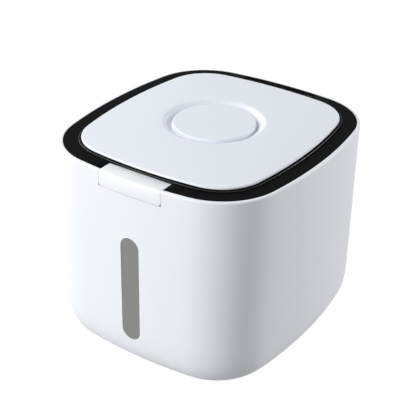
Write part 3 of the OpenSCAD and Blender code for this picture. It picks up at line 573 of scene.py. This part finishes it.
# The finish of each slot, and below them that of a piece with a finish of its own
FINISHES = {
    "white_body": dict(
        group=MOULDED, color=(0.784, 0.81, 0.856), bump=4e-6,
        roughness=0.42, roughness_spread=0.04, tone_spread=0.006, grain_size=0.0009),
    "white_lid": dict(
        group=MOULDED, color=(0.757, 0.787, 0.853), bump=5e-6,
        roughness=0.46, roughness_spread=0.05, tone_spread=0.006, grain_size=0.0007),
    "white_button": dict(
        group=MOULDED, color=(0.82, 0.847, 0.885), bump=3e-6,
        roughness=0.46, roughness_spread=0.04, tone_spread=0.005, grain_size=0.0009),
    "black_collar": dict(
        group=MOULDED, color=(0.0055, 0.0055, 0.0062), bump=12e-6, specular=0.008,
        roughness=0.5, roughness_spread=0.1, tone_spread=0.1, speck_amount=0.25, grain_size=0.0005),
    "black_lid": dict(
        group=MOULDED, color=(0.0055, 0.0055, 0.0062), bump=8e-6, specular=0.008,
        roughness=0.4, roughness_spread=0.08, tone_spread=0.1, speck_amount=0.2, grain_size=0.0005),
    "black_lever": dict(
        group=MOULDED, color=(0.014, 0.014, 0.015), bump=10e-6,
        roughness=0.48, roughness_spread=0.08, tone_spread=0.1, grain_size=0.0007),
    "window": dict(
        group=MOULDED, color=(0.222, 0.222, 0.218), bump=2e-6, specular=0.2,
        roughness=0.34, roughness_spread=0.03, tone_spread=0.012, grain_size=0.0012),
    "gasket": dict(
        group=MOULDED, color=(0.05, 0.05, 0.05), bump=10e-6,
        roughness=0.72, roughness_spread=0.08, tone_spread=0.06, grain_size=0.0005),
    "lid_seal": dict(
        group=MOULDED, color=(0.5, 0.51, 0.53), bump=8e-6,
        roughness=0.6, roughness_spread=0.08, tone_spread=0.03, grain_size=0.0006),
    "feet": dict(
        group=MOULDED, color=(0.03, 0.03, 0.03), bump=20e-6,
        roughness=0.78, roughness_spread=0.1, tone_spread=0.1, grain_size=0.0006),
    "bushes": dict(
        group=MOULDED, color=(0.012, 0.012, 0.013), bump=4e-6, specular=0.2,
        roughness=0.38, roughness_spread=0.05, tone_spread=0.05, grain_size=0.0008),
    "desiccant_case": dict(
        group=MOULDED, color=(0.74, 0.76, 0.79), bump=6e-6,
        roughness=0.45, roughness_spread=0.06, tone_spread=0.015, grain_size=0.0007),
    "sachet": dict(
        group=MOULDED, color=(0.82, 0.8, 0.74), bump=80e-6,
        roughness=0.85, roughness_spread=0.08, tone_spread=0.05, speck_amount=0.12, grain_size=0.0012),
    "steel": dict(group=DRAWN, color=(0.62, 0.62, 0.64), bump=3e-6, metallic=1.0, roughness=0.26),
    "spring_wire": dict(group=DRAWN, color=(0.05, 0.05, 0.055), bump=3e-6, metallic=1.0, roughness=0.32),
    "screws": dict(group=DRAWN, color=(0.66, 0.66, 0.68), bump=3e-6, metallic=1.0, roughness=0.32),
    "lip_bead": dict(
        group=MOULDED, color=(0.006, 0.006, 0.0068), bump=2e-6, specular=0.32,
        roughness=0.3, roughness_spread=0.04, tone_spread=0.1, grain_size=0.0005),
}
MATERIALS = {name: finish(name, **values) for name, values in FINISHES.items()}


def paint(made, slot):
    """Gives an object the finish of its own name where there is one, or else that of its slot."""
    made.data.materials.clear()
    made.data.materials.append(MATERIALS.get(made.name, MATERIALS[slot]))


# Pieces

make_bucket()
make_window_seat()
make_cover()
smooth_copy("collar", "collar_ring", "bin", "black_collar")
smooth_copy("lid_base", "lid_shell", "lid", "black_lid")
make_lip_bead()
smooth_copy("latch_button", "press_button", "latch", "white_button", edge=BUTTON_EDGE)
for made in [o for o in bpy.data.objects if o.type == "MESH" and "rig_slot" in o]:
    paint(made, made["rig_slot"])
slots = {row["node"]: row["material_slot"] for row in frame["record"]["subparts"]}
for node, solid in frame["nodes"].items():
    paint(solid, slots[node])


# Camera

camera_data = bpy.data.cameras.new("camera")
camera_data.sensor_width = SENSOR_W
camera_data.lens = CAMERA_LENS_PX / FRAME_PX * SENSOR_W
camera_data.clip_start = CAMERA_NEAR
camera = bpy.data.objects.new("camera", camera_data)
bpy.context.scene.collection.objects.link(camera)
bpy.context.scene.camera = camera
azimuth, elevation = math.radians(CAMERA_AZIMUTH), math.radians(CAMERA_ELEVATION)
back = Vector((math.sin(azimuth) * math.cos(elevation), -math.cos(azimuth) * math.cos(elevation),
               math.sin(elevation)))
turn = back.to_track_quat("Z", "Y").to_matrix().to_4x4() @ Matrix.Rotation(math.radians(CAMERA_ROLL), 4, "Z")
camera.matrix_world = Matrix.Translation(CAMERA_PLACE) @ turn


# Floor, light and background

def soft_light(name, place, width, watts):
    """A square lamp that looks at the middle of the bin."""
    data = bpy.data.lights.new(name, "AREA")
    data.shape = "SQUARE"
    data.size = width
    data.energy = watts
    lamp = bpy.data.objects.new(name, data)
    aim = Vector((0, 0, FACE_Z / 2)) - Vector(place)
    lamp.matrix_world = Matrix.Translation(place) @ aim.to_track_quat("-Z", "Y").to_matrix().to_4x4()
    bpy.context.scene.collection.objects.link(lamp)


def make_floor():
    """A wide grey floor that glows for the camera, so it looks white where no shadow lies on it."""
    corners = [(x * FLOOR_HALF, y * FLOOR_HALF, 0) for x, y in ((-1, -1), (1, -1), (1, 1), (-1, 1))]
    mesh = bpy.data.meshes.new("floor")
    mesh.from_pydata(corners, [], [(0, 1, 2, 3)])
    material = bpy.data.materials.new("floor")
    material.use_nodes = True
    tree = material.node_tree
    shader = tree.nodes["Principled BSDF"]
    shader.inputs["Base Color"].default_value = (FLOOR_GREY, FLOOR_GREY, FLOOR_GREY, 1)
    shader.inputs["Roughness"].default_value = FLOOR_ROUGHNESS
    shader.inputs["Specular IOR Level"].default_value = FLOOR_SPECULAR
    shader.inputs["Emission Color"].default_value = (1, 1, 1, 1)
    path = tree.nodes.new("ShaderNodeLightPath").outputs
    seen = calc(tree, "MAXIMUM", path["Is Camera Ray"], path["Is Glossy Ray"])
    tree.links.new(calc(tree, "MULTIPLY", seen, FLOOR_GLOW), shader.inputs["Emission Strength"])
    mesh.materials.append(material)
    floor = add_object("floor", mesh)


def make_world():
    """A background that is white where it is seen or mirrored, and a soft grey where it only lights."""
    world = bpy.data.worlds.new("studio")
    bpy.context.scene.world = world
    world.use_nodes = True
    tree = world.node_tree
    background = tree.nodes["Background"]
    background.inputs["Color"].default_value = (1, 1, 1, 1)
    path = tree.nodes.new("ShaderNodeLightPath").outputs
    mirrored = calc(tree, "MAXIMUM", path["Is Glossy Ray"], path["Is Transmission Ray"])
    seen = calc(tree, "MAXIMUM", path["Is Camera Ray"], mirrored)
    level = calc(tree, "MULTIPLY_ADD", seen, 1 - WORLD_LIGHT, WORLD_LIGHT)
    tree.links.new(level, background.inputs["Strength"])


for name, lamp in LAMPS.items():
    soft_light(name, *lamp)
make_floor()
make_world()
bpy.context.scene.view_settings.view_transform = "Standard"
